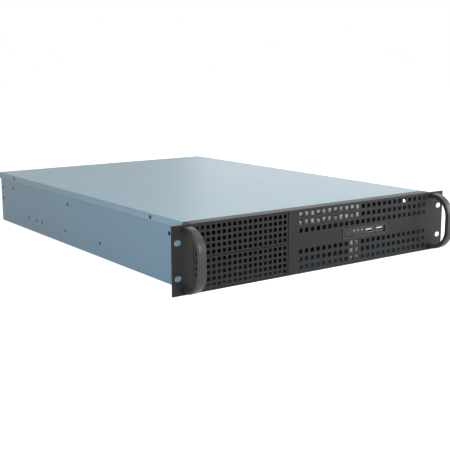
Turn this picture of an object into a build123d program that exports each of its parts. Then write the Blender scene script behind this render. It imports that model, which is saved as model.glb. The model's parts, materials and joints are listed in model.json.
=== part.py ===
from build123d import *
import os

# Empty 19-inch server case, two rack units high, in millimetres.
# X runs to the right along the front, Y to the rear, Z up.
# The functions measure Y from the front face and Z from the lower edge of the panel. save() then shifts
# every piece along Y, so that the origin is the middle of the whole underside, handles included.

# rack standard
rack_unit = 44.45
rack_units = 2
rack_unit_gap = 0.9
rack_width = 482.6
ear_slot_from_end = 8.75
ear_slot_length = 10.0
ear_slot_height = 7.0

# case
ear_width = 26.3
body_depth = 622.0
steel = 1.5
cover_steel = 1.0
seam = 0.3
corner_relief = 1.0
cut = 1.0  # how far a cutter runs past what it cuts

# front panel
return_depth = 17.5
panel_edge_round = 0.8
bay_side_margin = 5.0
bay_opening_width = 150.0
bay_edge_margin = 1.9

# grille of square holes
grille_hole = 6.0
grille_pitch_x = 10.4
grille_pitch_z = 10.9
grille_rows_each_side = 3
grille_right_margin = 14.7
grille_left_margin = 18.0
grille_rise = 0.8
grille_inner_row = 14.3

# drive bay covers
bay_cover_steel = 1.0
bay_cover_recess = 0.4
bay_cover_gap = 0.9
bay_cover_clearance = 0.75
bay_cover_flange = 28.0
bay_cover_lip = 6.0
bay_hole = 5.0
bay_hole_pitch_x = 8.15
bay_hole_pitch_z = 8.0
bay_hole_columns = 18
bay_hole_rows = 5

# handles
handle_from_body = 4.5
handle_width = 10.5
handle_band = 6.0
handle_reach = 35.0
handle_height = 83.0
handle_bend = 31.0

# top cover
cover_overhang = 6.0
cover_flange = 9.5
cover_bend = 1.4
cover_tongue_length = 9.0
cover_tongue_inset = 3.0
cover_rear_lip = 12.0

# tray
tray_lip = 12.0
tray_bend = 1.5
front_hole_radius = 3.1
front_hole_y = 51.0
front_hole_z = 68.0

# control module
module_from_bay = 139.5
module_rise = 0.5
module_width = 82.0
module_height = 12.0
module_fit = 0.2
module_rim = 2.0
module_rim_proud = 0.8
module_floor_y = 1.2
module_floor = 1.2
module_body_depth = 8.0
module_wall = 1.0
power_from_end = 8.5
power_width = 11.0
power_height = 8.6
reset_size = 3.2
button_gap = 0.25
button_proud = 0.4
reset_drop = 2.5
led_count = 3
led_size = 2.6
led_rise = 2.7
usb_from_end = 10.5
usb_pitch = 21.0
usb_count = 2
usb_rise = 0.4
usb_width = 13.2
usb_height = 5.8
usb_depth = 14.0
usb_wall = 0.5
usb_tongue_width = 11.0
usb_tongue_height = 1.9
usb_tongue_setback = 0.8
io_board_thickness = 1.6
io_board_depth = 26.0

# wide drive bay cage
bay_cage_steel = 1.0
bay_cage_front = 6.0
bay_cage_depth = 174.0
bay_cage_slot_length = 22.0
bay_cage_slot_height = 4.5
bay_cage_slot_pitch_y = 58.0
bay_cage_slot_pitch_z = 44.0
bay_cage_bridge = 22.0
bay_cage_fit = 0.2

# small drive cage
drive_cage_gap = 13.5
drive_cage_inner = 102.4
drive_cage_front = 8.0
drive_cage_depth = 152.0
drive_cage_steel = 1.0
drive_cage_foot = 11.0
drive_cage_band = 22.0
drive_cage_vent = 8.0
drive_cage_vent_pitch = 31.0
drive_cage_vent_count = 4
drive_cage_notch_margin = 2.5
drive_cage_slot_length = 26.0
drive_cage_slot_height = 4.0
drive_cage_slot_pitch_y = 50.0
drive_cage_slot_pitch_z = 33.0
drive_cage_tab_height = 34.0

# fan wall
fan_size = 80.0
fan_depth = 25.0
fan_flange = 3.5
fan_duct_sides = 8
fan_rim = 2.0
fan_side_margin = 44.0
fan_count = 3
fan_opening_margin = 3.0
fan_wall_y = 250.0
fan_wall_steel = 1.0
fan_wall_flange = 14.0
fan_hub_radius = 15.0
fan_tip_gap = 1.8
fan_blades = 5
fan_blade_thickness = 1.4
fan_blade_pitch = 38.0
fan_blade_chord = 22.0
fan_motor_depth = 4.0
fan_motor_gap = 0.5
fan_rotor_depth = 17.0
fan_strut = 5.0
fan_strut_turns = (90, 210, 330)
fan_joint_overlap = 1.0

# inner fittings
inner_top_clearance = 0.5
brace_y = 336.5
brace_width = 22.0
brace_height = 12.0
brace_steel = 1.2
brace_tab = 14.0
psu_bracket_y = 384.0
psu_bracket_height = 22.0
psu_bracket_foot = 14.0

# rear panel, measured across
psu_side_margin = 4.0
psu_width = 96.0
psu_bottom = 8.0
psu_height = 66.0
shield_from_psu = 4.25
shield_width = 158.75
shield_bottom = 8.0
shield_height = 44.45
card_pitch = 20.32
card_from_shield = 17.0
card_opening_width = 12.0
card_opening_bottom = 8.0
card_opening_height = 64.0
rear_flange = 14.0
vent_width = 6.0
vent_pitch = 12.0
vent_bottom = 58.0
vent_height = 16.0
vent_count = 13
slot_cover_width = 18.4
slot_cover_steel = 0.9
slot_cover_overlap = 3.0
slot_cover_tab = 11.0
slot_rail_steel = 1.5
slot_rail_margin = 5.0

# main board pattern, from the board's corner beside the power supply
board_rear_gap = 7.0
board_first_column = 16.51
board_second_column = 173.99
board_third_column = 298.45
board_first_row = 10.16
board_second_row = 165.10
board_third_row = 237.49
standoff_height = 6.35
standoff_across_flats = 5.0
standoff_sides = 6

# worked out from the sizes above
panel_height = rack_units * rack_unit - rack_unit_gap
half_panel = rack_width / 2
half_body = half_panel - ear_width
half_tray = half_body - steel
half_inside = half_tray - steel
floor_top = 2 * steel
tray_top = panel_height - steel
lip_underside = tray_top - steel
tongue_top = panel_height - steel - seam
tongue_bottom = tongue_top - cover_steel
inner_top = tongue_bottom - inner_top_clearance
cover_front = return_depth + seam
cover_rear = body_depth + cover_overhang
cover_underside = panel_height - cover_steel
middle_y = (cover_rear - handle_reach) / 2
ear_slot_x = half_panel - ear_slot_from_end
handle_x = half_body + handle_from_body
bay_left_edge = bay_side_margin - half_body
bay_right_edge = bay_left_edge + bay_opening_width
bay_centre_x = (bay_left_edge + bay_right_edge) / 2
bay_opening_height = panel_height - 2 * bay_edge_margin
bay_cover_width = bay_opening_width - 2 * bay_cover_clearance
bay_cover_height = (bay_opening_height - bay_cover_gap - 2 * bay_cover_recess) / 2
bay_cage_inner = bay_cover_width + 2 * bay_cage_fit
grille_right_column = half_body - grille_right_margin
grille_room = grille_right_column - bay_right_edge - grille_left_margin
grille_columns = 1 + int(grille_room / grille_pitch_x)
grille_centre_z = panel_height / 2 + grille_rise
module_x = bay_right_edge + module_from_bay
module_left = module_x - module_width / 2
module_right = module_x + module_width / 2
module_z = panel_height / 2 + module_rise
usb_z = module_z + usb_rise
power_x = module_left + power_from_end
usb_first_x = module_right - usb_from_end - (usb_count - 1) * usb_pitch
led_room_left = power_x + power_width / 2
led_pitch = (usb_first_x - usb_width / 2 - led_room_left) / (led_count + 1)
reset_x = led_room_left + led_pitch
drive_cage_half = drive_cage_inner / 2 + drive_cage_steel
drive_cage_half_foot = drive_cage_half + drive_cage_foot
drive_cage_x = bay_right_edge + drive_cage_gap + drive_cage_half_foot
fan_bottom = floor_top + fan_wall_steel
fan_front = fan_wall_y + fan_wall_steel
fan_centre_z = fan_bottom + fan_size / 2
fan_pitch = (2 * (half_inside - fan_side_margin) - fan_size) / (fan_count - 1)
fan_bore_radius = fan_size / 2 - fan_rim
rear_inside = body_depth - steel
psu_left = half_inside - psu_side_margin - psu_width
shield_right = psu_left - shield_from_psu
shield_left = shield_right - shield_width
card_first_x = shield_left - card_from_shield
card_last_limit = half_inside - slot_cover_width / 2 - slot_rail_margin
card_count = 1 + int((card_last_limit + card_first_x) / card_pitch)


def save(shape, name):
    """Moves a piece into the frame of the whole case and writes it."""
    export_step(Pos(0, -middle_y, 0) * shape, f"parts/{name}.step")


def block(x0, x1, y0, y1, z0, z1):
    """A box between two corners."""
    size = Box(x1 - x0, y1 - y0, z1 - z0)
    return Pos((x0 + x1) / 2, (y0 + y1) / 2, (z0 + z1) / 2) * size


def group(pieces):
    """Separate solids that share one node."""
    return Compound(children=[solid for piece in pieces for solid in piece.solids()])


def square_holes(xs, zs, size, y0, y1):
    """Square prisms along Y, one for each column and row."""
    face = Sketch() + [Pos(x, z) * Rectangle(size, size) for x in xs for z in zs]
    prisms = extrude(Plane(origin=(0, y1, 0), x_dir=(1, 0, 0), z_dir=(0, -1, 0)) * face, y1 - y0)
    return prisms


def hole_x(x0, x1, y, z, radius):
    """A round cutter along X."""
    return Pos((x0 + x1) / 2, y, z) * Rot(0, 90, 0) * Cylinder(radius, abs(x1 - x0))


def hole_y(x, y0, y1, z, radius):
    """A round cutter along Y."""
    return Pos(x, (y0 + y1) / 2, z) * Rot(90, 0, 0) * Cylinder(radius, abs(y1 - y0))


def spread(count, pitch, centre=0.0):
    """Evenly pitched places about a centre."""
    return [centre + (i - (count - 1) / 2) * pitch for i in range(count)]


def ear_slots():
    """Cutters for the four open rack slots."""
    cutters = []
    straight = ear_slot_length - ear_slot_height
    for x in (-ear_slot_x, ear_slot_x):
        for z in spread(rack_units, rack_unit, panel_height / 2):
            outline = SlotCenterToCenter(straight, ear_slot_height)
            plane = Plane(origin=(x, 2 * steel, z), x_dir=(1, 0, 0), z_dir=(0, -1, 0))
            cutters.append(extrude(plane * outline, 4 * steel))
    return cutters


def front_panel():
    """Face plate with ears, and the four return flanges that wrap round the tray's front end."""
    face = block(-half_panel, half_panel, 0, steel, 0, panel_height)
    long_edges = face.edges().filter_by(Axis.X).group_by(Axis.Y)[0]
    face = fillet(long_edges, panel_edge_round)
    side_top = panel_height - steel - corner_relief
    side_bottom = steel + corner_relief
    panel = face
    for low_z in (0, panel_height - steel):
        panel += block(-half_tray, half_tray, steel, return_depth, low_z, low_z + steel)
    for side in (-1, 1):
        inner, outer = sorted((side * half_tray, side * half_body))
        panel += block(inner, outer, steel, return_depth, side_bottom, side_top)
    bay_z = (bay_edge_margin, panel_height - bay_edge_margin)
    panel -= block(bay_left_edge, bay_right_edge, -steel, steel, *bay_z)
    strip_z = (module_z - module_height / 2, module_z + module_height / 2)
    panel -= block(module_left, module_right, -steel, 2 * steel, *strip_z)
    columns = [grille_right_column - i * grille_pitch_x for i in range(grille_columns)]
    offsets = [grille_inner_row + i * grille_pitch_z for i in range(grille_rows_each_side)]
    rows = [grille_centre_z + side * offset for side in (-1, 1) for offset in offsets]
    panel -= square_holes(columns, rows, grille_hole, -steel, 2 * steel)
    panel -= ear_slots()
    return panel


def handle(x):
    """Bow handle: a flat band bent into a D that stands on the ear."""
    low = (panel_height - handle_height) / 2
    high = panel_height - low

    def bow(inset, radius):
        outline = make_face(Polyline(
            (0, low + inset),
            (-handle_reach + inset, low + inset),
            (-handle_reach + inset, high - inset),
            (0, high - inset),
            close=True,
        ))
        outer_corners = outline.vertices().group_by(Axis.X)[0]
        return fillet(outer_corners, radius)

    band = bow(0, handle_bend) - bow(handle_band, handle_bend - handle_band)
    plane = Plane(origin=(x - handle_width / 2, 0, 0), x_dir=(0, 1, 0), z_dir=(1, 0, 0))
    return extrude(plane * band, handle_width)


def bay_cover(low_z):
    """Perforated pan that closes one wide drive bay; its side flanges reach back into the cage."""
    x0 = bay_centre_x - bay_cover_width / 2
    x1 = bay_centre_x + bay_cover_width / 2
    high_z = low_z + bay_cover_height
    y0 = bay_cover_recess
    y1 = y0 + bay_cover_steel
    middle = (low_z + high_z) / 2
    plate = block(x0, x1, y0, y1, low_z, high_z)
    columns = spread(bay_hole_columns, bay_hole_pitch_x, bay_centre_x)
    rows = spread(bay_hole_rows, bay_hole_pitch_z, middle)
    plate -= square_holes(columns, rows, bay_hole, y0 - cut, y1 + cut)
    flange_z = (low_z + bay_cover_lip / 2, high_z - bay_cover_lip / 2)
    for inner in (x0, x1 - bay_cover_steel):
        plate += block(inner, inner + bay_cover_steel, y1, y1 + bay_cover_flange, *flange_z)
    return plate


def chassis_tray():
    """Bottom, side walls and the inward lips that carry the cover, folded from one sheet."""
    outline = [
        (-half_tray, steel),
        (half_tray, steel),
        (half_tray, tray_top),
        (half_tray - tray_lip, tray_top),
        (half_tray - tray_lip, lip_underside),
        (half_inside, lip_underside),
        (half_inside, floor_top),
        (-half_inside, floor_top),
        (-half_inside, lip_underside),
        (-half_tray + tray_lip, lip_underside),
        (-half_tray + tray_lip, tray_top),
        (-half_tray, tray_top),
    ]
    section = make_face(Polyline(*outline, close=True))
    corners = section.vertices().group_by(Axis.X)
    section = fillet(corners[0] + corners[-1], tray_bend)
    plane = Plane(origin=(0, body_depth, 0), x_dir=(1, 0, 0), z_dir=(0, -1, 0))
    tray = extrude(plane * section, body_depth - steel)
    return tray - hole_x(-half_body, half_body, front_hole_y, front_hole_z, front_hole_radius)


def top_cover():
    """Lid folded down at both sides and the rear, with a joggled front tongue under the panel's return."""
    inner = half_body - cover_steel
    low = panel_height - cover_flange
    outline = [
        (-half_body, low),
        (-inner, low),
        (-inner, cover_underside),
        (inner, cover_underside),
        (inner, low),
        (half_body, low),
        (half_body, panel_height),
        (-half_body, panel_height),
    ]
    section = make_face(Polyline(*outline, close=True))
    section = fillet(section.vertices().group_by(Axis.Y)[-1], cover_bend)
    bend_depth = cover_bend + corner_relief
    side_rear = cover_rear - bend_depth
    plane = Plane(origin=(0, side_rear, 0), x_dir=(1, 0, 0), z_dir=(0, -1, 0))
    lid = extrude(plane * section, side_rear - cover_front)
    outline = [
        (side_rear, cover_underside),
        (cover_rear - cover_steel, cover_underside),
        (cover_rear - cover_steel, panel_height - cover_rear_lip),
        (cover_rear, panel_height - cover_rear_lip),
        (cover_rear, panel_height),
        (side_rear, panel_height),
    ]
    section = make_face(Polyline(*outline, close=True))
    section = fillet(section.vertices().group_by(Axis.X)[-1].sort_by(Axis.Y)[-1], cover_bend)
    lip_half = half_body - bend_depth
    plane = Plane(origin=(-lip_half, 0, 0), x_dir=(0, 1, 0), z_dir=(1, 0, 0))
    lid += extrude(plane * section, 2 * lip_half)
    tongue_half = half_tray - tray_lip - cover_tongue_inset
    tongue_y = (cover_front - cover_tongue_length, cover_front + cover_steel)
    lid += block(-tongue_half, tongue_half, *tongue_y, tongue_bottom, tongue_top)
    web_y = (cover_front, cover_front + cover_steel)
    return lid + block(-tongue_half, tongue_half, *web_y, tongue_bottom, cover_underside)


def module_windows():
    """Openings in the module's floor: x, z, width and height of each."""
    reset_window = reset_size + 2 * button_gap
    windows = [(power_x, module_z, power_width, power_height)]
    windows.append((reset_x, module_z - reset_drop, reset_window, reset_window))
    for x in led_places():
        windows.append((x, module_z + led_rise, led_size, led_size))
    for x in usb_places():
        windows.append((x, usb_z, usb_width, usb_height))
    return windows


def led_places():
    """Centres of the lamps across the case."""
    return [led_room_left + (i + 1) * led_pitch for i in range(led_count)]


def usb_places():
    """Centres of the ports across the case."""
    return [usb_first_x + i * usb_pitch for i in range(usb_count)]


def io_bezel():
    """Plastic surround: a thin rim on the face, a box through the panel and a floor with windows."""
    half_h = module_height / 2 - module_fit
    rim = module_rim + module_fit
    body_x = (module_left + module_fit, module_right - module_fit)
    body_z = (module_z - half_h, module_z + half_h)
    rim_x = (body_x[0] - rim, body_x[1] + rim)
    rim_z = (body_z[0] - rim, body_z[1] + rim)
    hollow_x = (body_x[0] + module_wall, body_x[1] - module_wall)
    hollow_z = (body_z[0] + module_wall, body_z[1] - module_wall)
    bezel = block(*rim_x, -module_rim_proud, 0, *rim_z)
    bezel += block(*body_x, 0, module_body_depth, *body_z)
    bezel -= block(*hollow_x, -module_rim_proud - cut, module_floor_y, *hollow_z)
    floor_back = module_floor_y + module_floor
    bezel -= block(*hollow_x, floor_back, module_body_depth + cut, *hollow_z)
    for x, z, width, height in module_windows():
        window_x = (x - width / 2, x + width / 2)
        window_y = (module_floor_y - cut, floor_back + cut)
        bezel -= block(*window_x, *window_y, z - height / 2, z + height / 2)
    return bezel


def button(x, z, width, height):
    """A push button: the cap in its window and a wider foot behind the floor that keeps it in."""
    floor_back = module_floor_y + module_floor
    foot_y = (floor_back + seam, floor_back + seam + module_floor)
    cap_z = (z - height / 2, z + height / 2)
    cap = block(x - width / 2, x + width / 2, module_floor_y - button_proud, foot_y[0], *cap_z)
    foot_z = (z - height / 2 + button_gap, z + height / 2 - button_gap)
    return cap + block(x - width / 2 - module_wall, x + width / 2 + module_wall, *foot_y, *foot_z)


def power_button():
    """Large button at the module's left end."""
    width = power_width - 2 * button_gap
    return button(power_x, module_z, width, power_height - 2 * button_gap)


def reset_button():
    """Small square button below the lamps."""
    return button(reset_x, module_z - reset_drop, reset_size, reset_size)


def led_lenses():
    """Clear light guides in the module's upper row."""
    lenses = []
    half = led_size / 2
    z = module_z + led_rise
    lens_y = (module_floor_y - module_fit, module_body_depth)
    for x in led_places():
        lenses.append(block(x - half, x + half, *lens_y, z - half, z + half))
    return group(lenses)


def usb_shells():
    """Metal shells of the two ports, open at the front."""
    shells = []
    for x in usb_places():
        outer_x = (x - usb_width / 2, x + usb_width / 2)
        outer_z = (usb_z - usb_height / 2, usb_z + usb_height / 2)
        inner_x = (outer_x[0] + usb_wall, outer_x[1] - usb_wall)
        inner_z = (outer_z[0] + usb_wall, outer_z[1] - usb_wall)
        shell_y = (module_floor_y, module_floor_y + usb_depth)
        shell = block(*outer_x, *shell_y, *outer_z)
        shells.append(shell - block(*inner_x, shell_y[0] - cut, shell_y[1] - usb_wall, *inner_z))
    return group(shells)


def usb_tongues():
    """The contact tongue inside each port, fixed to the back of the shell."""
    tongues = []
    for x in usb_places():
        inner_top_z = usb_z + usb_height / 2 - usb_wall
        tongue_z = (inner_top_z - usb_wall - usb_tongue_height, inner_top_z - usb_wall)
        tongue_y = (module_floor_y + usb_tongue_setback, module_floor_y + usb_depth - usb_wall)
        half = usb_tongue_width / 2
        tongues.append(block(x - half, x + half, *tongue_y, *tongue_z))
    return group(tongues)


def io_board():
    """Small circuit board under the ports."""
    top = usb_z - usb_height / 2
    board_y = (module_body_depth, module_body_depth + io_board_depth)
    board_x = (module_left + module_fit, module_right - module_fit)
    return block(*board_x, *board_y, top - io_board_thickness, top)


def bay_cage():
    """Cage for the two wide bays: floor, two slotted walls and two bridges across the top."""
    x0 = bay_centre_x - bay_cage_inner / 2 - bay_cage_steel
    x1 = bay_centre_x + bay_cage_inner / 2 + bay_cage_steel
    y0 = bay_cage_front
    y1 = bay_cage_front + bay_cage_depth
    cage = block(x0, x1, y0, y1, floor_top, inner_top)
    hollow_x = (x0 + bay_cage_steel, x1 - bay_cage_steel)
    hollow_z = (floor_top + bay_cage_steel, inner_top - bay_cage_steel)
    cage -= block(*hollow_x, y0 - cut, y1 + cut, *hollow_z)
    roof_y = (y0 + bay_cage_bridge, y1 - bay_cage_bridge)
    cage -= block(*hollow_x, *roof_y, hollow_z[1], inner_top + cut)
    for y in spread(2, bay_cage_slot_pitch_y, (y0 + y1) / 2):
        for z in spread(2, bay_cage_slot_pitch_z, panel_height / 2):
            slot_y = (y - bay_cage_slot_length / 2, y + bay_cage_slot_length / 2)
            slot_z = (z - bay_cage_slot_height / 2, z + bay_cage_slot_height / 2)
            cage -= block(x0 - cut, x1 + cut, *slot_y, *slot_z)
    return cage


def drive_cage():
    """Cage for the small drives: slotted walls on feet, a roof, and a pierced band across the front."""
    half_inner = drive_cage_inner / 2
    half_outer = drive_cage_half
    half_foot = drive_cage_half_foot
    y0 = drive_cage_front
    y1 = drive_cage_front + drive_cage_depth
    x = drive_cage_x
    cage = block(x - half_outer, x + half_outer, y0, y1, floor_top, inner_top)
    hollow_z = (floor_top - cut, inner_top - drive_cage_steel)
    cage -= block(x - half_inner, x + half_inner, y0 - cut, y1 + cut, *hollow_z)
    for y in spread(2, drive_cage_slot_pitch_y, (y0 + y1) / 2):
        for z in spread(2, drive_cage_slot_pitch_z, panel_height / 2):
            slot_y = (y - drive_cage_slot_length / 2, y + drive_cage_slot_length / 2)
            slot_z = (z - drive_cage_slot_height / 2, z + drive_cage_slot_height / 2)
            cage -= block(x - half_foot, x + half_foot, *slot_y, *slot_z)
    for side in (-1, 1):
        foot_x = sorted((x + side * half_outer, x + side * half_foot))
        cage += block(*foot_x, y0, y1, floor_top, floor_top + drive_cage_steel)
    band_z = (inner_top - drive_cage_band, inner_top)
    cage += block(x - half_foot, x + half_foot, y0, y0 + drive_cage_steel, *band_z)
    tab_x = (x + half_inner - drive_cage_foot, x + half_foot)
    cage += block(*tab_x, y0, y0 + drive_cage_steel, floor_top, floor_top + drive_cage_tab_height)
    band_middle = inner_top - drive_cage_band / 2
    half_vent = drive_cage_vent / 2
    vent_y = (y0 - cut, y0 + drive_cage_steel + cut)
    for vent in spread(drive_cage_vent_count, drive_cage_vent_pitch, x):
        vent_z = (band_middle - half_vent, band_middle + half_vent)
        cage -= block(vent - half_vent, vent + half_vent, *vent_y, *vent_z)
    margin = drive_cage_notch_margin
    notch_y = (y0 - cut, module_body_depth + io_board_depth + margin)
    notch_z = (module_z - module_height / 2 - margin, module_z + module_height / 2 + margin)
    cage -= block(module_left - margin, x + half_foot + cut, *notch_y, *notch_z)
    return cage


def fan_places():
    """Centres of the fans across the case."""
    return spread(fan_count, fan_pitch)


def fan_bracket():
    """Galvanised wall across the tray with a square opening in front of every fan."""
    wall_y = (fan_wall_y, fan_front)
    wall = block(-half_inside, half_inside, *wall_y, floor_top, inner_top)
    foot_y = (fan_front, fan_front + fan_depth)
    wall += block(-half_inside, half_inside, *foot_y, floor_top, floor_top + fan_wall_steel)
    top_half = half_tray - tray_lip - cover_tongue_inset
    top_y = (fan_wall_y - fan_wall_flange, fan_wall_y)
    wall += block(-top_half, top_half, *top_y, inner_top - fan_wall_steel, inner_top)
    half = fan_size / 2 - fan_opening_margin
    opening_z = (fan_centre_z - half, fan_centre_z + half)
    for x in fan_places():
        wall -= block(x - half, x + half, wall_y[0] - cut, wall_y[1] + cut, *opening_z)
    return wall


def fan_frame(x):
    """Moulded frame: square flanges on an eight-sided duct, the motor seat and three struts that carry it."""
    half = fan_size / 2
    y1 = fan_front + fan_depth
    plane = Plane(origin=(x, y1, fan_centre_z), x_dir=(1, 0, 0), z_dir=(0, -1, 0))
    duct = RegularPolygon(half, fan_duct_sides, major_radius=False, rotation=180 / fan_duct_sides)
    frame = extrude(plane * duct, fan_depth)
    for y in (fan_front, y1 - fan_flange):
        frame += block(x - half, x + half, y, y + fan_flange, fan_bottom, fan_bottom + fan_size)
    frame -= hole_y(x, fan_front - cut, y1 + cut, fan_centre_z, fan_bore_radius)
    seat_front = y1 - fan_motor_depth
    frame += hole_y(x, seat_front, y1, fan_centre_z, fan_hub_radius)
    reach = (fan_bore_radius + fan_hub_radius) / 2
    length = fan_bore_radius - fan_hub_radius + 2 * fan_joint_overlap
    for turn in fan_strut_turns:
        strut = Box(length, fan_motor_depth, fan_strut)
        frame += Pos(x, y1 - fan_motor_depth / 2, fan_centre_z) * Rot(0, turn, 0) * Pos(reach, 0, 0) * strut
    return frame


def fan_rotor(x):
    """Hub with pitched blades that turns in front of the motor seat."""
    hub_back = fan_front + fan_depth - fan_motor_depth - fan_motor_gap
    hub_front = hub_back - fan_rotor_depth
    middle = (hub_front + hub_back) / 2
    rotor = hole_y(x, hub_front, hub_back, fan_centre_z, fan_hub_radius)
    tip = fan_bore_radius - fan_tip_gap
    root = fan_hub_radius - fan_joint_overlap
    flat = Box(tip - root, fan_blade_thickness, fan_blade_chord)
    blade = Pos((tip + root) / 2, 0, 0) * Rot(fan_blade_pitch, 0, 0) * flat
    centre = Pos(x, middle, fan_centre_z)
    return rotor + [centre * Rot(0, i * 360 / fan_blades, 0) * blade for i in range(fan_blades)]


def cross_brace():
    """Channel across the tray under the cover, with a tab at each end against the side wall."""
    y0 = brace_y
    y1 = brace_y + brace_width
    top = inner_top
    tab_bottom = top - brace_height - brace_tab
    brace = block(-half_inside, half_inside, y0, y1, top - brace_height, top)
    channel_y = (y0 + brace_steel, y1 - brace_steel)
    brace -= block(-half_inside - cut, half_inside + cut, *channel_y, 0, top - brace_steel)
    for x in (-half_inside, half_inside - brace_steel):
        brace += block(x, x + brace_steel, y0, y1, tab_bottom, top)
    return brace


def psu_bracket():
    """Small angle on the floor that stops the power supply's inner end."""
    x = (psu_left, psu_left + psu_width)
    y = psu_bracket_y
    upright = block(*x, y, y + steel, floor_top, floor_top + psu_bracket_height)
    return upright + block(*x, y - psu_bracket_foot, y, floor_top, floor_top + steel)


def card_places():
    """Centres of the card slots, from the one beside the board's connectors."""
    return [card_first_x - i * card_pitch for i in range(card_count)]


def rear_panel():
    """Rear wall with its openings, vents and the flanges that are fixed inside the tray."""
    wall = block(-half_inside, half_inside, rear_inside, body_depth, floor_top, inner_top)
    flange_y = (rear_inside - rear_flange, rear_inside)
    for x in (-half_inside, half_inside - steel):
        wall += block(x, x + steel, *flange_y, floor_top, inner_top)
    cut_y = (rear_inside - cut, body_depth + cut)
    wall -= block(psu_left, psu_left + psu_width, *cut_y, psu_bottom, psu_bottom + psu_height)
    wall -= block(shield_left, shield_right, *cut_y, shield_bottom, shield_bottom + shield_height)
    card_top = card_opening_bottom + card_opening_height
    for x in card_places():
        half = card_opening_width / 2
        wall -= block(x - half, x + half, *cut_y, card_opening_bottom, card_top)
    for x in spread(vent_count, vent_pitch, (shield_left + shield_right) / 2):
        wall -= block(x - vent_width / 2, x + vent_width / 2, *cut_y, vent_bottom, vent_bottom + vent_height)
    return wall


def slot_cover(x):
    """Blank plate behind one card slot, with the tab that is screwed to the rail."""
    half = slot_cover_width / 2
    low = card_opening_bottom - slot_cover_overlap
    top = slot_rail_top() + slot_cover_steel
    plate_y = (rear_inside - slot_cover_steel, rear_inside)
    plate = block(x - half, x + half, *plate_y, low, top)
    tab_y = (rear_inside - slot_cover_tab, rear_inside - slot_cover_steel)
    return plate + block(x - half, x + half, *tab_y, slot_rail_top(), top)


def slot_rail_top():
    """Height of the rail's upper face, just above the card openings."""
    return card_opening_bottom + card_opening_height + slot_cover_overlap


def slot_rail():
    """Ledge across the card slots; its two ends reach the rear wall beside the blank plates."""
    places = card_places()
    half = slot_cover_width / 2
    x0 = places[-1] - half - slot_rail_margin
    x1 = places[0] + half + slot_rail_margin
    z = slot_rail_top()
    rail = block(x0, x1, rear_inside - slot_cover_tab, rear_inside, z - slot_rail_steel, z)
    notch_x = (x0 + slot_rail_margin - seam, x1 - slot_rail_margin + seam)
    notch_y = (rear_inside - slot_cover_steel - seam, rear_inside + cut)
    return rail - block(*notch_x, *notch_y, 0, z + cut)


def board_standoffs():
    """Hexagonal pillars on the main board's pattern, wherever the floor reaches under it."""
    pillars = []
    rear_edge = rear_inside - board_rear_gap
    floor_left = standoff_across_flats - half_inside
    floor_front = fan_front + fan_depth + standoff_across_flats
    outline = RegularPolygon(standoff_across_flats / 2, standoff_sides, major_radius=False)
    pillar = extrude(outline, standoff_height)
    for across in (board_first_column, board_second_column, board_third_column):
        x = shield_right - across
        for back in (board_first_row, board_second_row, board_third_row):
            y = rear_edge - back
            if x > floor_left and y > floor_front:
                pillars.append(Pos(x, y, floor_top) * pillar)
    return group(pillars)


def main():
    """Builds and writes every piece."""
    os.makedirs("parts", exist_ok=True)
    save(front_panel(), "front_panel")
    save(handle(-handle_x), "handle_left")
    save(handle(handle_x), "handle_right")
    lower_z = bay_edge_margin + bay_cover_recess
    save(bay_cover(lower_z), "bay_cover_lower")
    save(bay_cover(lower_z + bay_cover_height + bay_cover_gap), "bay_cover_upper")
    save(chassis_tray(), "chassis_tray")
    save(top_cover(), "top_cover")
    save(io_bezel(), "io_bezel")
    save(power_button(), "power_button")
    save(reset_button(), "reset_button")
    save(led_lenses(), "led_lenses")
    save(usb_shells(), "usb_shells")
    save(usb_tongues(), "usb_tongues")
    save(io_board(), "io_board")
    save(bay_cage(), "bay_cage")
    save(drive_cage(), "drive_cage")
    save(fan_bracket(), "fan_bracket")
    save(group([fan_frame(x) for x in fan_places()]), "fan_frames")
    for number, x in enumerate(fan_places(), 1):
        save(fan_rotor(x), f"fan_rotor_{number}")
    save(cross_brace(), "cross_brace")
    save(psu_bracket(), "psu_bracket")
    save(rear_panel(), "rear_panel")
    for number, x in enumerate(card_places(), 1):
        save(slot_cover(x), f"slot_cover_{number}")
    save(slot_rail(), "slot_rail")
    save(board_standoffs(), "board_standoffs")


main()
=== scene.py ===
import bmesh
import bpy
import json
from math import atan2, cos, degrees, pi, radians, sin
from mathutils import Matrix, Vector


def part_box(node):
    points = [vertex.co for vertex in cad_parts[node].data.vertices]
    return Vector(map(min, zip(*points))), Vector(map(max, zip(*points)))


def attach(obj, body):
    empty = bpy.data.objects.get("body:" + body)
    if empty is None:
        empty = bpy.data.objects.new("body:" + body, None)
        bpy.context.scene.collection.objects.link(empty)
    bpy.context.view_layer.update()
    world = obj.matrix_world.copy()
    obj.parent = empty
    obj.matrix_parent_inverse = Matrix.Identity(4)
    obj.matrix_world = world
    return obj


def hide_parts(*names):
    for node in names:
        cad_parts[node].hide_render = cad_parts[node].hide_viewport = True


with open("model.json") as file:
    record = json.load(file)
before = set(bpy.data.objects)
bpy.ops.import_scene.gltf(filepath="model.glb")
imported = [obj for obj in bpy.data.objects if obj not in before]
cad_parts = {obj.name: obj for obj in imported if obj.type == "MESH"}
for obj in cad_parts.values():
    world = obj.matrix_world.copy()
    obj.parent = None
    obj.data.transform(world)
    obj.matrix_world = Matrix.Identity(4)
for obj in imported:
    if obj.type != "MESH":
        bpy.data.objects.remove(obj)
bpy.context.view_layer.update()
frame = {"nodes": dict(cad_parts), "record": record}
mm = 0.001  # pieces and looks below are given in millimetres; camera, lamps and floor in metres
print("frame loaded,", len(frame["nodes"]), "nodes")

# places that several pieces share, read from the frame
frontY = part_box("front_panel")[0].y  # front face of the panel; depths below are counted from it
trayLow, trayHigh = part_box("chassis_tray")
coverLow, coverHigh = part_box("top_cover")


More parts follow.
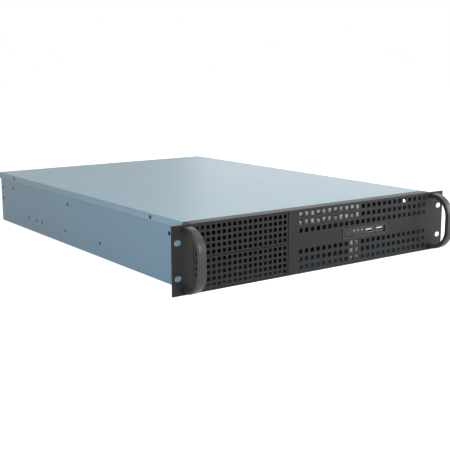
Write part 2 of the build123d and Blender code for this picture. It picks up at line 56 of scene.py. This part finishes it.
def toLinear(hexColour):
    # the sRGB curve, channel by channel
    channels = [int(hexColour[i:i + 2], 16) / 255 for i in (1, 3, 5)]
    linear = [c / 12.92 if c <= 0.04045 else ((c + 0.055) / 1.055) ** 2.4 for c in channels]
    return (*linear, 1.0)


def addNode(tree, kind, inputs=None, **settings):
    # inputs holds numbers, colours or the sockets to link from
    node = tree.nodes.new(kind)
    for name, value in settings.items():
        setattr(node, name, value)
    for name, value in (inputs or {}).items():
        if isinstance(value, bpy.types.NodeSocket):
            tree.links.new(value, node.inputs[name])
        else:
            node.inputs[name].default_value = value
    return node


def startMaterial(name, values):
    # a Principled shader with its plain numbers set, and the object's own coordinates
    material = bpy.data.materials.new(name)
    material.use_nodes = True
    tree = material.node_tree
    shader = tree.nodes["Principled BSDF"]
    shader.inputs["Base Color"].default_value = toLinear(values["colour"])
    shader.inputs["Metallic"].default_value = values["metallic"]
    shader.inputs["Roughness"].default_value = values["roughness"]
    if values["metallic"] == 0:
        shader.inputs["IOR"].default_value = values["ior"]
    coords = addNode(tree, "ShaderNodeTexCoord").outputs["Object"]
    return material, tree, shader, coords


noiseDetail = {"grain": 3.0, "powderCloud": 2.0, "sheetCloud": 3.0}  # octaves


def addGrain(tree, shader, coords, values):
    # fine relief from a noise whose grain is given in millimetres
    noise = addNode(tree, "ShaderNodeTexNoise",
                    {"Vector": coords, "Scale": 1 / (values["grain"] * mm),
                     "Detail": noiseDetail["grain"]})
    bump = addNode(tree, "ShaderNodeBump",
                   {"Height": noise.outputs["Fac"], "Strength": values["grainStrength"],
                    "Distance": values["grainDepth"] * mm})
    tree.links.new(bump.outputs["Normal"], shader.inputs["Normal"])
    return noise


def addTint(tree, shader, factor, values):
    # the colour and the roughness drift between two near values
    colour = addNode(tree, "ShaderNodeMix",
                     {0: factor, 6: toLinear(values["colour"]),  # 6 and 7 are its colour sockets
                      7: toLinear(values["colourTwo"])}, data_type="RGBA")
    tree.links.new(colour.outputs[2], shader.inputs["Base Color"])
    spread = addNode(tree, "ShaderNodeMapRange",
                     {"Value": factor, "To Min": values["roughness"],
                     "To Max": values["roughnessTwo"]})
    tree.links.new(spread.outputs["Result"], shader.inputs["Roughness"])


powderCoatLook = {"colour": "#0e0e0f", "colourTwo": "#121213", "metallic": 0.0, "ior": 1.32,
                  "roughness": 0.46, "roughnessTwo": 0.54,
                  "grain": 0.9, "grainStrength": 0.5, "grainDepth": 0.12, "cloud": 60.0}


def makePowderCoat():
    # black epoxy powder on steel: satin, its orange peel drawn about three times its real width
    material, tree, shader, coords = startMaterial("satinBlackPowderCoat", powderCoatLook)
    addGrain(tree, shader, coords, powderCoatLook)
    cloud = addNode(tree, "ShaderNodeTexNoise",
                    {"Vector": coords, "Scale": 1 / (powderCoatLook["cloud"] * mm),
                     "Detail": noiseDetail["powderCloud"]})
    addTint(tree, shader, cloud.outputs["Fac"], powderCoatLook)
    return material


handleEnamelLook = {"colour": "#2b2b2c", "colourTwo": "#303031", "metallic": 0.0, "ior": 1.4,
                    "roughness": 0.34, "roughnessTwo": 0.40,
                    "grain": 1.4, "grainStrength": 0.12, "grainDepth": 0.04}


def makeHandleEnamel():
    # black stoved enamel on an aluminium bow: smoother and shinier than the panel
    material, tree, shader, coords = startMaterial("blackHandleEnamel", handleEnamelLook)
    noise = addGrain(tree, shader, coords, handleEnamelLook)
    addTint(tree, shader, noise.outputs["Fac"], handleEnamelLook)
    return material


coatedSteelLooks = {
    "blueGreyCoatedSteel": {"colour": "#66869a", "colourTwo": "#6b8b9e"},
    "paleBlueGreyCoatedSteel": {"colour": "#7493a3", "colourTwo": "#7a98a7"},  # the cover's sheet
}
coatedSteelFinish = {"metallic": 0.0, "ior": 1.38, "roughness": 0.34, "roughnessTwo": 0.40,
                     "grain": 1.1, "grainStrength": 0.10, "grainDepth": 0.03, "cloud": 90.0}


def makeCoatedSteel(name):
    # pre-coated steel sheet, rolled and lacquered: a broad soft sheen and hardly any texture
    values = {**coatedSteelLooks[name], **coatedSteelFinish}
    material, tree, shader, coords = startMaterial(name, values)
    addGrain(tree, shader, coords, values)
    cloud = addNode(tree, "ShaderNodeTexNoise",
                    {"Vector": coords, "Scale": 1 / (values["cloud"] * mm),
                     "Detail": noiseDetail["sheetCloud"]})
    addTint(tree, shader, cloud.outputs["Fac"], values)
    return material


zincLooks = {
    "galvanisedSpangleSteel": {"colour": "#aaaeb0", "colourTwo": "#c2c5c7",
                               "roughness": 0.34, "roughnessTwo": 0.50, "spangle": 9.0},
    "shadeDarkZincSteel": {"colour": "#5f6365", "colourTwo": "#74787a",  # finer crystals; darker and matt as painted shade for the parts deep in the case
                      "roughness": 0.50, "roughnessTwo": 0.62, "spangle": 6.0},
}
zincFinish = {"metallic": 1.0, "grain": 0.8, "grainStrength": 0.15, "grainDepth": 0.03}


def makeZincSteel(name):
    # hot-dip zinc on steel: crystals 6 to 9 mm wide, each with its own grey and gloss
    values = {**zincLooks[name], **zincFinish}
    material, tree, shader, coords = startMaterial(name, values)
    addGrain(tree, shader, coords, values)
    crystals = addNode(tree, "ShaderNodeTexVoronoi",
                       {"Vector": coords, "Scale": 1 / (values["spangle"] * mm)})
    grey = addNode(tree, "ShaderNodeSeparateColor", {"Color": crystals.outputs["Color"]})
    addTint(tree, shader, grey.outputs[0], values)
    return material


blackPlasticLook = {"colour": "#0c100f", "colourTwo": "#101514", "metallic": 0.0, "ior": 1.42,
                    "roughness": 0.46, "roughnessTwo": 0.56,
                    "grain": 0.5, "grainStrength": 0.3, "grainDepth": 0.03}


def makeBlackPlastic():
    # moulded ABS with a spark-eroded grain, drawn coarser than it is: black and matt
    material, tree, shader, coords = startMaterial("mouldedBlackPlastic", blackPlasticLook)
    noise = addGrain(tree, shader, coords, blackPlasticLook)
    addTint(tree, shader, noise.outputs["Fac"], blackPlasticLook)
    return material


plainLooks = {
    # moulded ABS keys: dark, with a weak sheen
    "buttonPlastic": {"colour": "#0e1111", "metallic": 0.0, "ior": 1.45, "roughness": 0.40,
                      "grain": 0.4, "grainStrength": 0.25, "grainDepth": 0.02},
    # clear plastic frosted by its mould: grey-green while it is unlit, and glossy
    "milkyLightGuide": {"colour": "#7f8f88", "metallic": 0.0, "ior": 1.49, "roughness": 0.22,
                        "grain": 0.4, "grainStrength": 0.10, "grainDepth": 0.01},
    # bent steel, nickel-plated: it mirrors the room softly
    "nickelPlatedShell": {"colour": "#7c7d7b", "metallic": 1.0, "roughness": 0.20,
                          "grain": 0.5, "grainStrength": 0.10, "grainDepth": 0.01},
    # moulded nylon: off-white and matt
    "whiteNylonTongue": {"colour": "#bdbcb6", "metallic": 0.0, "ior": 1.53, "roughness": 0.42,
                         "grain": 0.3, "grainStrength": 0.15, "grainDepth": 0.01},
    # lacquer on glass fibre board: green and glossy
    "greenSolderMask": {"colour": "#1b4a2e", "metallic": 0.0, "ior": 1.5, "roughness": 0.30,
                        "grain": 0.6, "grainStrength": 0.20, "grainDepth": 0.02},
    # brass from the lathe: yellow and bright
    "turnedBrass": {"colour": "#c9a968", "metallic": 1.0, "roughness": 0.28,
                    "grain": 0.3, "grainStrength": 0.15, "grainDepth": 0.01},
    # clear zinc on steel: pale grey and bright
    "zincPlatedScrew": {"colour": "#c6c8ca", "metallic": 1.0, "roughness": 0.30,
                        "grain": 0.3, "grainStrength": 0.15, "grainDepth": 0.01},
    # black oxide steel, kept almost black and non-metallic with little sheen: painted shade of the
    # dark holes these heads stand for
    "blackScrewHoleShade": {"colour": "#0b0c0d", "metallic": 0.0, "ior": 1.4, "roughness": 0.50,
                        "grain": 0.3, "grainStrength": 0.15, "grainDepth": 0.01},
}


def makePlainLook(name):
    # small parts of one colour: only the relief changes over the surface
    values = plainLooks[name]
    material, tree, shader, coords = startMaterial(name, values)
    addGrain(tree, shader, coords, values)
    return material


powderCoat = makePowderCoat()
handleEnamel = makeHandleEnamel()
coatedSteel = makeCoatedSteel("blueGreyCoatedSteel")
coverSteel = makeCoatedSteel("paleBlueGreyCoatedSteel")
galvanised = makeZincSteel("galvanisedSpangleSteel")
# the darker zinc is painted shade: it keeps the bays and the fan wall dark behind the holes
shadeDarkZinc = makeZincSteel("shadeDarkZincSteel")
blackPlastic = makeBlackPlastic()
plain = {name: makePlainLook(name) for name in plainLooks}
print("materials made")

# the frame's own nodes: material, and the width in millimetres of the small round on their edges
nodeLooks = {
    "front_panel": (powderCoat, 0.25),
    "bay_cover": (powderCoat, 0.2),
    "chassis_tray": (coatedSteel, 0.3),
    "top_cover": (coverSteel, 0.3),
    "rear_panel": (coatedSteel, 0.2),
    "io_bezel": (blackPlastic, 0.2),
    "power_button": (plain["buttonPlastic"], 0.35),
    "reset_button": (plain["buttonPlastic"], 0.25),
    "led_lenses": (plain["milkyLightGuide"], 0.2),
    "usb_shells": (plain["nickelPlatedShell"], 0.1),
    "usb_tongues": (plain["whiteNylonTongue"], 0.15),
    "io_board": (plain["greenSolderMask"], 0),
    # the bay cage and the fan bracket take the darker zinc as painted shade
    "bay_cage": (shadeDarkZinc, 0.2),
    "drive_cage": (galvanised, 0.2),
    "fan_bracket": (shadeDarkZinc, 0.2),
    "fan_frames": (blackPlastic, 0.4),
    "fan_rotor": (blackPlastic, 0.2),
    "cross_brace": (galvanised, 0.2),
    "psu_bracket": (galvanised, 0.2),
    "slot_cover": (galvanised, 0.15),
    "slot_rail": (galvanised, 0.2),
    "board_standoffs": (plain["turnedBrass"], 0.1),
}


# how meshes are cleaned and shaded: lengths in millimetres, angles in degrees
meshCare = {"merge": 0.001, "flatAngle": 0.5, "roundAngle": 40, "roundSegments": 2,
            "sharpAngle": 38}


def dressNode(name, material, edgeRound):
    node = frame["nodes"][name]
    node.data.materials.clear()
    node.data.materials.append(material)
    if edgeRound:
        weld = node.modifiers.new("weld", "WELD")
        weld.merge_threshold = meshCare["merge"] * mm
        flats = node.modifiers.new("flats", "DECIMATE")  # joins a flat face's triangles: no slivers
        flats.decimate_type = "DISSOLVE"
        flats.angle_limit = radians(meshCare["flatAngle"])
        edges = node.modifiers.new("edges", "BEVEL")
        edges.width = edgeRound * mm
        edges.segments = meshCare["roundSegments"]
        edges.limit_method = "ANGLE"
        edges.angle_limit = radians(meshCare["roundAngle"])
        edges.use_clamp_overlap = False


for name in frame["nodes"]:
    for start, (material, edgeRound) in nodeLooks.items():
        if name.startswith(start):
            dressNode(name, material, edgeRound)
print("frame nodes dressed")


def finishPiece(mesh, name, material, body, replaced=()):
    # the mesh already lies in its place, so the object stays at the origin
    bmesh.ops.remove_doubles(mesh, verts=mesh.verts, dist=meshCare["merge"] * mm)
    bmesh.ops.recalc_face_normals(mesh, faces=mesh.faces)
    data = bpy.data.meshes.new(name)
    mesh.to_mesh(data)
    mesh.free()
    data.materials.append(material)
    data.shade_smooth()
    data.set_sharp_from_angle(angle=radians(meshCare["sharpAngle"]))
    piece = bpy.data.objects.new(name, data)
    bpy.context.scene.collection.objects.link(piece)
    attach(piece, body)
    if replaced:
        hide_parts(*replaced)


handleBow = {"outerBend": 31.0, "band": 6.0, "sectionRound": 0.5, "sectionSteps": 4,
             "bendSteps": 20}


def makeHandle(side):
    # one band with rounded edges, pulled and spun along: foot, bend, grip, bend and foot again
    low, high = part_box("handle_" + side)
    band, bend = handleBow["band"] * mm, handleBow["outerBend"] * mm
    straight = high.y - low.y - bend
    mesh = bmesh.new()
    bmesh.ops.create_grid(mesh, x_segments=1, y_segments=1, size=0.5)  # 1 m square, scaled next
    bmesh.ops.scale(mesh, vec=(high.x - low.x, band, 1), verts=mesh.verts)
    bmesh.ops.bevel(mesh, geom=mesh.verts[:], offset=handleBow["sectionRound"] * mm,
                    affect="VERTICES", segments=handleBow["sectionSteps"], profile=0.5, material=-1)
    bmesh.ops.rotate(mesh, cent=(0, 0, 0), matrix=Matrix.Rotation(pi / 2, 3, "X"), verts=mesh.verts)
    centreX = (low.x + high.x) / 2
    bmesh.ops.translate(mesh, vec=(centreX, high.y, low.z + band / 2), verts=mesh.verts)
    ring = mesh.edges[:]

    def pull(ring, offset):
        made = bmesh.ops.extrude_edge_only(mesh, edges=ring)["geom"]
        verts = {v for v in made if isinstance(v, bmesh.types.BMVert)}
        bmesh.ops.translate(mesh, vec=offset, verts=list(verts))
        return [e for e in made if isinstance(e, bmesh.types.BMEdge) and set(e.verts) <= verts]

    def turn(ring, centreZ):
        made = bmesh.ops.spin(mesh, geom=ring, cent=(0, high.y - straight, centreZ),
                              axis=(1, 0, 0), angle=-pi / 2, steps=handleBow["bendSteps"],
                              use_merge=False, use_duplicate=False)["geom_last"]
        return [e for e in made if isinstance(e, bmesh.types.BMEdge)]

    ring = pull(ring, (0, -straight, 0))
    ring = turn(ring, low.z + bend)
    ring = pull(ring, (0, 0, high.z - low.z - 2 * bend))
    ring = turn(ring, high.z - bend)
    ring = pull(ring, (0, straight, 0))
    bmesh.ops.edgeloop_fill(mesh, edges=ring)
    finishPiece(mesh, side + "HandleBow", handleEnamel, "case",
                ["handle_" + side])


for side in ("left", "right"):
    makeHandle(side)
print("handles made")

# hub and blades of a fan: lengths in millimetres, pitch, camber and sweep in degrees
rotorForm = {"hubRadius": 15.0, "hubRim": 2.2, "rimSteps": 5, "dish": 0.5, "rim": 1.6,
             "around": 48, "blades": 5, "rootRadius": 14.2, "tipRadius": 35.4,
             "rootChord": 17.0, "tipChord": 22.0, "rootPitch": 44.0, "tipPitch": 34.0,
             "camber": 34.0, "sweep": 12.0, "thickness": 1.3, "chordSteps": 8, "spanSteps": 8}


def bladeTemplate():
    # a bent line at the hub, pulled outwards row by row while it turns flatter, wider and forwards
    form = rotorForm
    half = radians(form["camber"]) / 2
    chord = form["rootChord"] * mm
    bend = chord / 2 / sin(half)
    mesh = bmesh.new()
    start = mesh.verts.new((0, 0, -chord / 2))
    bmesh.ops.spin(mesh, geom=[start], cent=(0, -bend * cos(half), 0), axis=(1, 0, 0),
                   angle=2 * half, steps=form["chordSteps"], use_merge=False, use_duplicate=False)
    pitch = Matrix.Rotation(radians(form["rootPitch"]), 3, "X")
    bmesh.ops.rotate(mesh, cent=(0, 0, 0), matrix=pitch, verts=mesh.verts)
    bmesh.ops.translate(mesh, vec=(form["rootRadius"] * mm, 0, 0), verts=mesh.verts)
    steps = form["spanSteps"]
    reach = (form["tipRadius"] - form["rootRadius"]) / steps * mm
    growth = (form["tipChord"] / form["rootChord"]) ** (1 / steps)
    turn = Matrix.Rotation(radians(form["tipPitch"] - form["rootPitch"]) / steps, 3, "X")
    rows, line = [mesh.verts[:]], mesh.edges[:]
    for step in range(steps):
        made = bmesh.ops.extrude_edge_only(mesh, edges=line)["geom"]
        row = {v for v in made if isinstance(v, bmesh.types.BMVert)}
        line = [e for e in made if isinstance(e, bmesh.types.BMEdge) and set(e.verts) <= row]
        rows.append(list(row))
        bmesh.ops.translate(mesh, vec=(reach, 0, 0), verts=rows[-1])
        bmesh.ops.rotate(mesh, cent=(0, 0, 0), matrix=turn, verts=rows[-1])
        bmesh.ops.scale(mesh, vec=(1, growth, growth), verts=rows[-1])
    for step, row in enumerate(rows):
        sweep = Matrix.Rotation(radians(form["sweep"]) * step / steps, 3, "Y")
        bmesh.ops.rotate(mesh, cent=(0, 0, 0), matrix=sweep, verts=row)
    bmesh.ops.recalc_face_normals(mesh, faces=mesh.faces)
    bmesh.ops.solidify(mesh, geom=mesh.verts[:] + mesh.edges[:] + mesh.faces[:],
                       thickness=form["thickness"] * mm)
    data = bpy.data.meshes.new("blade")
    mesh.to_mesh(data)
    mesh.free()
    return data


def makeRotor(name, centre):
    # a dished hub with the blades set round it
    form = rotorForm
    low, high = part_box(name)
    mesh = bmesh.new()
    bmesh.ops.create_cone(mesh, cap_ends=True, segments=form["around"],
                          radius1=form["hubRadius"] * mm, radius2=form["hubRadius"] * mm,
                          depth=high.y - low.y)
    front = max(mesh.faces, key=lambda face: (len(face.verts), face.calc_center_median().z))
    bmesh.ops.bevel(mesh, geom=front.edges[:], offset=form["hubRim"] * mm, affect="EDGES",
                    segments=form["rimSteps"], profile=0.5, material=-1)
    front = max(mesh.faces, key=lambda face: (len(face.verts), face.calc_center_median().z))
    bmesh.ops.inset_region(mesh, faces=[front], thickness=form["rim"] * mm)
    bmesh.ops.inset_region(mesh, faces=[front], thickness=form["dish"] * mm,
                           depth=-form["dish"] * mm)
    bmesh.ops.rotate(mesh, cent=(0, 0, 0), matrix=Matrix.Rotation(pi / 2, 3, "X"), verts=mesh.verts)
    blade = bladeTemplate()
    for n in range(form["blades"]):
        already = len(mesh.verts)
        mesh.from_mesh(blade)
        mesh.verts.ensure_lookup_table()
        turn = Matrix.Rotation(2 * pi * n / form["blades"], 3, "Y")
        bmesh.ops.rotate(mesh, cent=(0, 0, 0), matrix=turn, verts=mesh.verts[already:])
    bmesh.ops.translate(mesh, vec=centre, verts=mesh.verts)
    finishPiece(mesh, name + ".moulded", blackPlastic, name, [name])


for joint in frame["record"]["behaviour"]["joints"]:
    if joint["name"].startswith("fan_spin"):
        makeRotor(joint["child"], joint["pos_m"])
print("fan rotors made")

# every screw's cross recess: its share of the head, the pull between its arms and where that acts
screwForm = {"sides": 24, "recess": 0.62, "arm": 0.36, "betweenArms": (30, 45, 60), "rimSteps": 3}


def screwTemplate(form):
    # a round head that stands on z 0, with a cross recess
    radius, height, rim, recessDepth = (form[key] * mm for key in
                                        ("radius", "height", "rim", "recessDepth"))
    mesh = bmesh.new()
    bmesh.ops.create_cone(mesh, cap_ends=True, segments=screwForm["sides"], radius1=radius,
                          radius2=radius, depth=height)
    bmesh.ops.translate(mesh, vec=(0, 0, height / 2), verts=mesh.verts)
    top = max(mesh.faces, key=lambda face: face.calc_center_median().z)
    bmesh.ops.bevel(mesh, geom=top.edges[:], offset=rim, affect="EDGES",
                    segments=screwForm["rimSteps"], profile=0.5, material=-1)
    top = max(mesh.faces, key=lambda face: face.calc_center_median().z)
    bmesh.ops.inset_region(mesh, faces=[top], thickness=(radius - rim) * (1 - screwForm["recess"]))
    top = max(mesh.faces, key=lambda face: (len(face.verts), face.calc_center_median().z))
    between = [v for v in top.verts
               if round(degrees(atan2(v.co.y, v.co.x))) % 90 in screwForm["betweenArms"]]
    bmesh.ops.scale(mesh, vec=(screwForm["arm"], screwForm["arm"], 1), verts=between)
    made = bmesh.ops.extrude_discrete_faces(mesh, faces=[top])["faces"]
    bmesh.ops.translate(mesh, vec=(0, 0, -recessDepth), verts=made[0].verts[:])
    data = bpy.data.meshes.new("template")
    mesh.to_mesh(data)
    mesh.free()
    return data


def placeCopies(template, places, facing):
    # the same form at each place, its z axis turned to the given direction
    turn = Vector((0, 0, 1)).rotation_difference(Vector(facing)).to_matrix().to_4x4()
    mesh = bmesh.new()
    for place in places:
        already = len(mesh.verts)
        mesh.from_mesh(template)
        mesh.verts.ensure_lookup_table()
        bmesh.ops.transform(mesh, matrix=Matrix.Translation(place) @ turn,
                            verts=mesh.verts[already:])
    return mesh


def finishBothSides(template, box, places, name, material, body):
    # the same row on the left and the right face of a box; places are depths and heights
    for side, x, facing in (("left", box[0].x, -1), ("right", box[1].x, 1)):
        spots = [(x, frontY + depth * mm, height * mm) for depth, height in places]
        mesh = placeCopies(template, spots, (facing, 0, 0))
        finishPiece(mesh, side + name, material, body)


# small screws in the side walls, almost black as painted hole shade, dark spots from afar: depth
# and height of each
sideScrews = {"radius": 2.3, "height": 0.25, "rim": 0.12, "recessDepth": 0.2,
              "places": [(347.5, 65.8), (565, 65), (359, 22.5), (242.6, 22.7), (503, 22.8),
                         (469, 22.2), (447, 22.8), (613.5, 61.8), (613.5, 42.3)]}
# their near-black colour is painted shade, standing in for open holes
finishBothSides(screwTemplate(sideScrews), (trayLow, trayHigh), sideScrews["places"], "SideScrews",
                plain["blackScrewHoleShade"], "case")

# pop rivets in the side walls, painted with them: depth and height of each
sideRivets = {"radius": 2.6, "height": 0.6, "around": 20, "rings": 12,
              "places": [(278, 72.7), (146.5, 69.6), (30, 20), (150, 20)]}


def makeSideRivets():
    # the upper half of a ball, pressed flat
    dome = bmesh.new()
    bmesh.ops.create_uvsphere(dome, u_segments=sideRivets["around"],
                              v_segments=sideRivets["rings"], radius=mm)
    bmesh.ops.bisect_plane(dome, geom=dome.verts[:] + dome.edges[:] + dome.faces[:],
                           plane_co=(0, 0, 0), plane_no=(0, 0, -1), clear_outer=True)
    bmesh.ops.holes_fill(dome, edges=[edge for edge in dome.edges if edge.is_boundary])
    bmesh.ops.scale(dome, vec=(sideRivets["radius"], sideRivets["radius"], sideRivets["height"]),
                    verts=dome.verts)
    template = bpy.data.meshes.new("template")
    dome.to_mesh(template)
    dome.free()
    finishBothSides(template, (trayLow, trayHigh), sideRivets["places"], "SideRivets", coatedSteel,
                    "case")


makeSideRivets()

# screws in the cover's side flanges: how far below its top, and their depths
coverScrews = {"radius": 2.7, "height": 0.3, "rim": 0.15, "recessDepth": 0.25, "drop": 5.0,
               "depths": [94, 556]}


def makeCoverScrews():
    height = coverHigh.z / mm - coverScrews["drop"]
    places = [(depth, height) for depth in coverScrews["depths"]]
    # near-black heads: painted shade of holes
    finishBothSides(screwTemplate(coverScrews), (coverLow, coverHigh), places, "CoverScrews",
                    plain["blackScrewHoleShade"], "cover")


makeCoverScrews()

handleScrews = {"radius": 3.8, "height": 2.4, "rim": 0.8, "recessDepth": 1.2, "earSteel": 1.5}


def makeHandleScrews():
    # their heads lie on the back of the ears, one behind each foot
    template = screwTemplate(handleScrews)
    back = frontY + handleScrews["earSteel"] * mm
    for side in ("left", "right"):
        low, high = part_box("handle_" + side)
        middle = (low.x + high.x) / 2
        inset = handleBow["band"] / 2 * mm
        places = [(middle, back, low.z + inset), (middle, back, high.z - inset)]
        mesh = placeCopies(template, places, (0, 1, 0))
        finishPiece(mesh, side + "HandleScrews", plain["zincPlatedScrew"], "case")


makeHandleScrews()

# the ribs are pressed into the upright faces that are at least leastWidth wide
thumbScrews = {"radius": 5.0, "height": 8.0, "rim": 0.5, "recessDepth": 1.0, "drop": 7.0,
               "across": [-170, 0, 170], "ribDepth": 0.3, "ribGap": 0.12, "tilt": 0.1,
               "leastWidth": 0.5}


def makeThumbScrews():
    # knurled heads behind the cover's rear lip
    template = screwTemplate(thumbScrews)
    mesh = bmesh.new()
    mesh.from_mesh(template)
    leastArea = thumbScrews["leastWidth"] * thumbScrews["height"] * mm * mm
    walls = [face for face in mesh.faces
             if abs(face.normal.z) < thumbScrews["tilt"] and face.calc_area() > leastArea]
    bmesh.ops.inset_individual(mesh, faces=walls, thickness=thumbScrews["ribGap"] * mm,
                               depth=-thumbScrews["ribDepth"] * mm)
    mesh.to_mesh(template)
    mesh.free()
    height = coverHigh.z - thumbScrews["drop"] * mm
    places = [(x * mm, coverHigh.y, height) for x in thumbScrews["across"]]
    mesh = placeCopies(template, places, (0, 1, 0))
    finishPiece(mesh, "coverThumbScrews", plain["zincPlatedScrew"], "cover")


makeThumbScrews()
print("screws made")

# solved on the panel's corners, its slots and the long edges: angles in degrees, focal length and
# picture in pixels, sensor in millimetres
cameraView = {"turn": 35.352, "down": 10.794, "roll": -0.278, "focal": 857.8, "picture": 450.0,
              "place": (-0.7698, -1.1522, 0.2809), "sensor": 36, "clipEnd": 30}


def makeCamera():
    turn, down, roll = (radians(cameraView[key]) for key in ("turn", "down", "roll"))
    ahead = Vector((sin(turn) * cos(down), cos(turn) * cos(down), -sin(down)))
    right = ahead.cross(Vector((0, 0, 1))).normalized()
    up = right.cross(ahead)
    tiltedRight = cos(roll) * right + sin(roll) * up
    tiltedUp = cos(roll) * up - sin(roll) * right
    axes = Matrix((tiltedRight, tiltedUp, -ahead)).transposed().to_4x4()
    data = bpy.data.cameras.new("camera")
    data.sensor_width = cameraView["sensor"]
    data.lens = data.sensor_width * cameraView["focal"] / cameraView["picture"]
    data.clip_end = cameraView["clipEnd"]
    camera = bpy.data.objects.new("camera", data)
    bpy.context.scene.collection.objects.link(camera)
    camera.matrix_world = Matrix.Translation(cameraView["place"]) @ axes
    bpy.context.scene.camera = camera


makeCamera()

# a broad sun from the front and four soft boxes: place, the point they face, spread and strength
lamps = {
    "frontKey": {"kind": "SUN", "place": (0.25, -1.0, 0.42), "facing": (0, 0, 0), "angle": 32,
                 "strength": 2.0},
    "overheadSoftbox": {"kind": "AREA", "place": (0.75, -0.35, 1.2), "facing": (0.0, -0.05, 0.09),
                        "size": 0.9, "strength": 4},
    "rightSoftbox": {"kind": "AREA", "place": (1.15, -0.85, 0.4), "facing": (0.2, 0.0, 0.05),
                     "size": 0.7, "strength": 10},
    "leftFill": {"kind": "AREA", "place": (-1.05, -1.0, 0.5), "facing": (-0.22, -0.2, 0.04),
                 "size": 0.9, "strength": 14},
    "backSoftbox": {"kind": "AREA", "place": (2.53, 1.8, 1.0), "facing": (0.0, 0.1, 0.09),
                    "size": 2.6, "strength": 20},
}


def makeLamps():
    for name, values in lamps.items():
        data = bpy.data.lights.new(name, values["kind"])
        data.energy = values["strength"]
        if values["kind"] == "SUN":
            data.angle = radians(values["angle"])
        else:
            data.size = values["size"]
        lamp = bpy.data.objects.new(name, data)
        bpy.context.scene.collection.objects.link(lamp)
        place = Vector(values["place"])
        lamp.location = place
        lamp.visible_camera = False
        lamp.rotation_euler = (Vector(values["facing"]) - place).to_track_quat("-Z", "Y").to_euler()


makeLamps()

# worldLight lights the case, seenLight is what the camera and reflections see
backdrop = {"world": "#ffffff", "worldLight": 0.15, "seenLight": 1.0, "floorGlow": 0.85,
            "floorSize": 16.0}
floorLook = {"colour": "#c8c8c8", "metallic": 0.0, "ior": 1.45, "roughness": 0.9, "specular": 0.1}


def addSeenRays(tree):
    # 1 for the rays that look at the backdrop: straight, through something or by a reflection
    path = addNode(tree, "ShaderNodeLightPath")
    seen = addNode(tree, "ShaderNodeMath",
                   {0: path.outputs["Is Camera Ray"], 1: path.outputs["Is Transmission Ray"]},
                   operation="MAXIMUM")
    return addNode(tree, "ShaderNodeMath", {0: seen.outputs[0], 1: path.outputs["Is Glossy Ray"]},
                   operation="MAXIMUM")


def makeBackdrop():
    # white to the camera and in reflections, a plain soft light for the rest
    scene = bpy.context.scene
    scene.world = bpy.data.worlds.new("paleRoom")
    scene.world.use_nodes = True
    tree = scene.world.node_tree
    tree.nodes.clear()
    seen = addSeenRays(tree)
    soft = addNode(tree, "ShaderNodeBackground",
                   {"Color": toLinear(backdrop["world"]), "Strength": backdrop["worldLight"]})
    white = addNode(tree, "ShaderNodeBackground",
                    {"Color": toLinear(backdrop["world"]), "Strength": backdrop["seenLight"]})
    mixed = addNode(tree, "ShaderNodeMixShader",
                    {0: seen.outputs[0], 1: soft.outputs[0], 2: white.outputs[0]})
    addNode(tree, "ShaderNodeOutputWorld", {"Surface": mixed.outputs[0]})
    material, tree, shader = startMaterial("paleFloor", floorLook)[:3]
    shader.inputs["Specular IOR Level"].default_value = floorLook["specular"]
    shader.inputs["Emission Color"].default_value = toLinear(backdrop["world"])
    glow = addNode(tree, "ShaderNodeMath",
                   {0: addSeenRays(tree).outputs[0], 1: backdrop["floorGlow"]},
                   operation="MULTIPLY")
    tree.links.new(glow.outputs[0], shader.inputs["Emission Strength"])
    mesh = bmesh.new()
    bmesh.ops.create_grid(mesh, x_segments=1, y_segments=1, size=backdrop["floorSize"] / 2)
    data = bpy.data.meshes.new("floor")
    mesh.to_mesh(data)
    mesh.free()
    data.materials.append(material)
    floor = bpy.data.objects.new("floor", data)
    scene.collection.objects.link(floor)


makeBackdrop()
bpy.context.scene.view_settings.view_transform = "Standard"
print("camera, lamps and floor made")
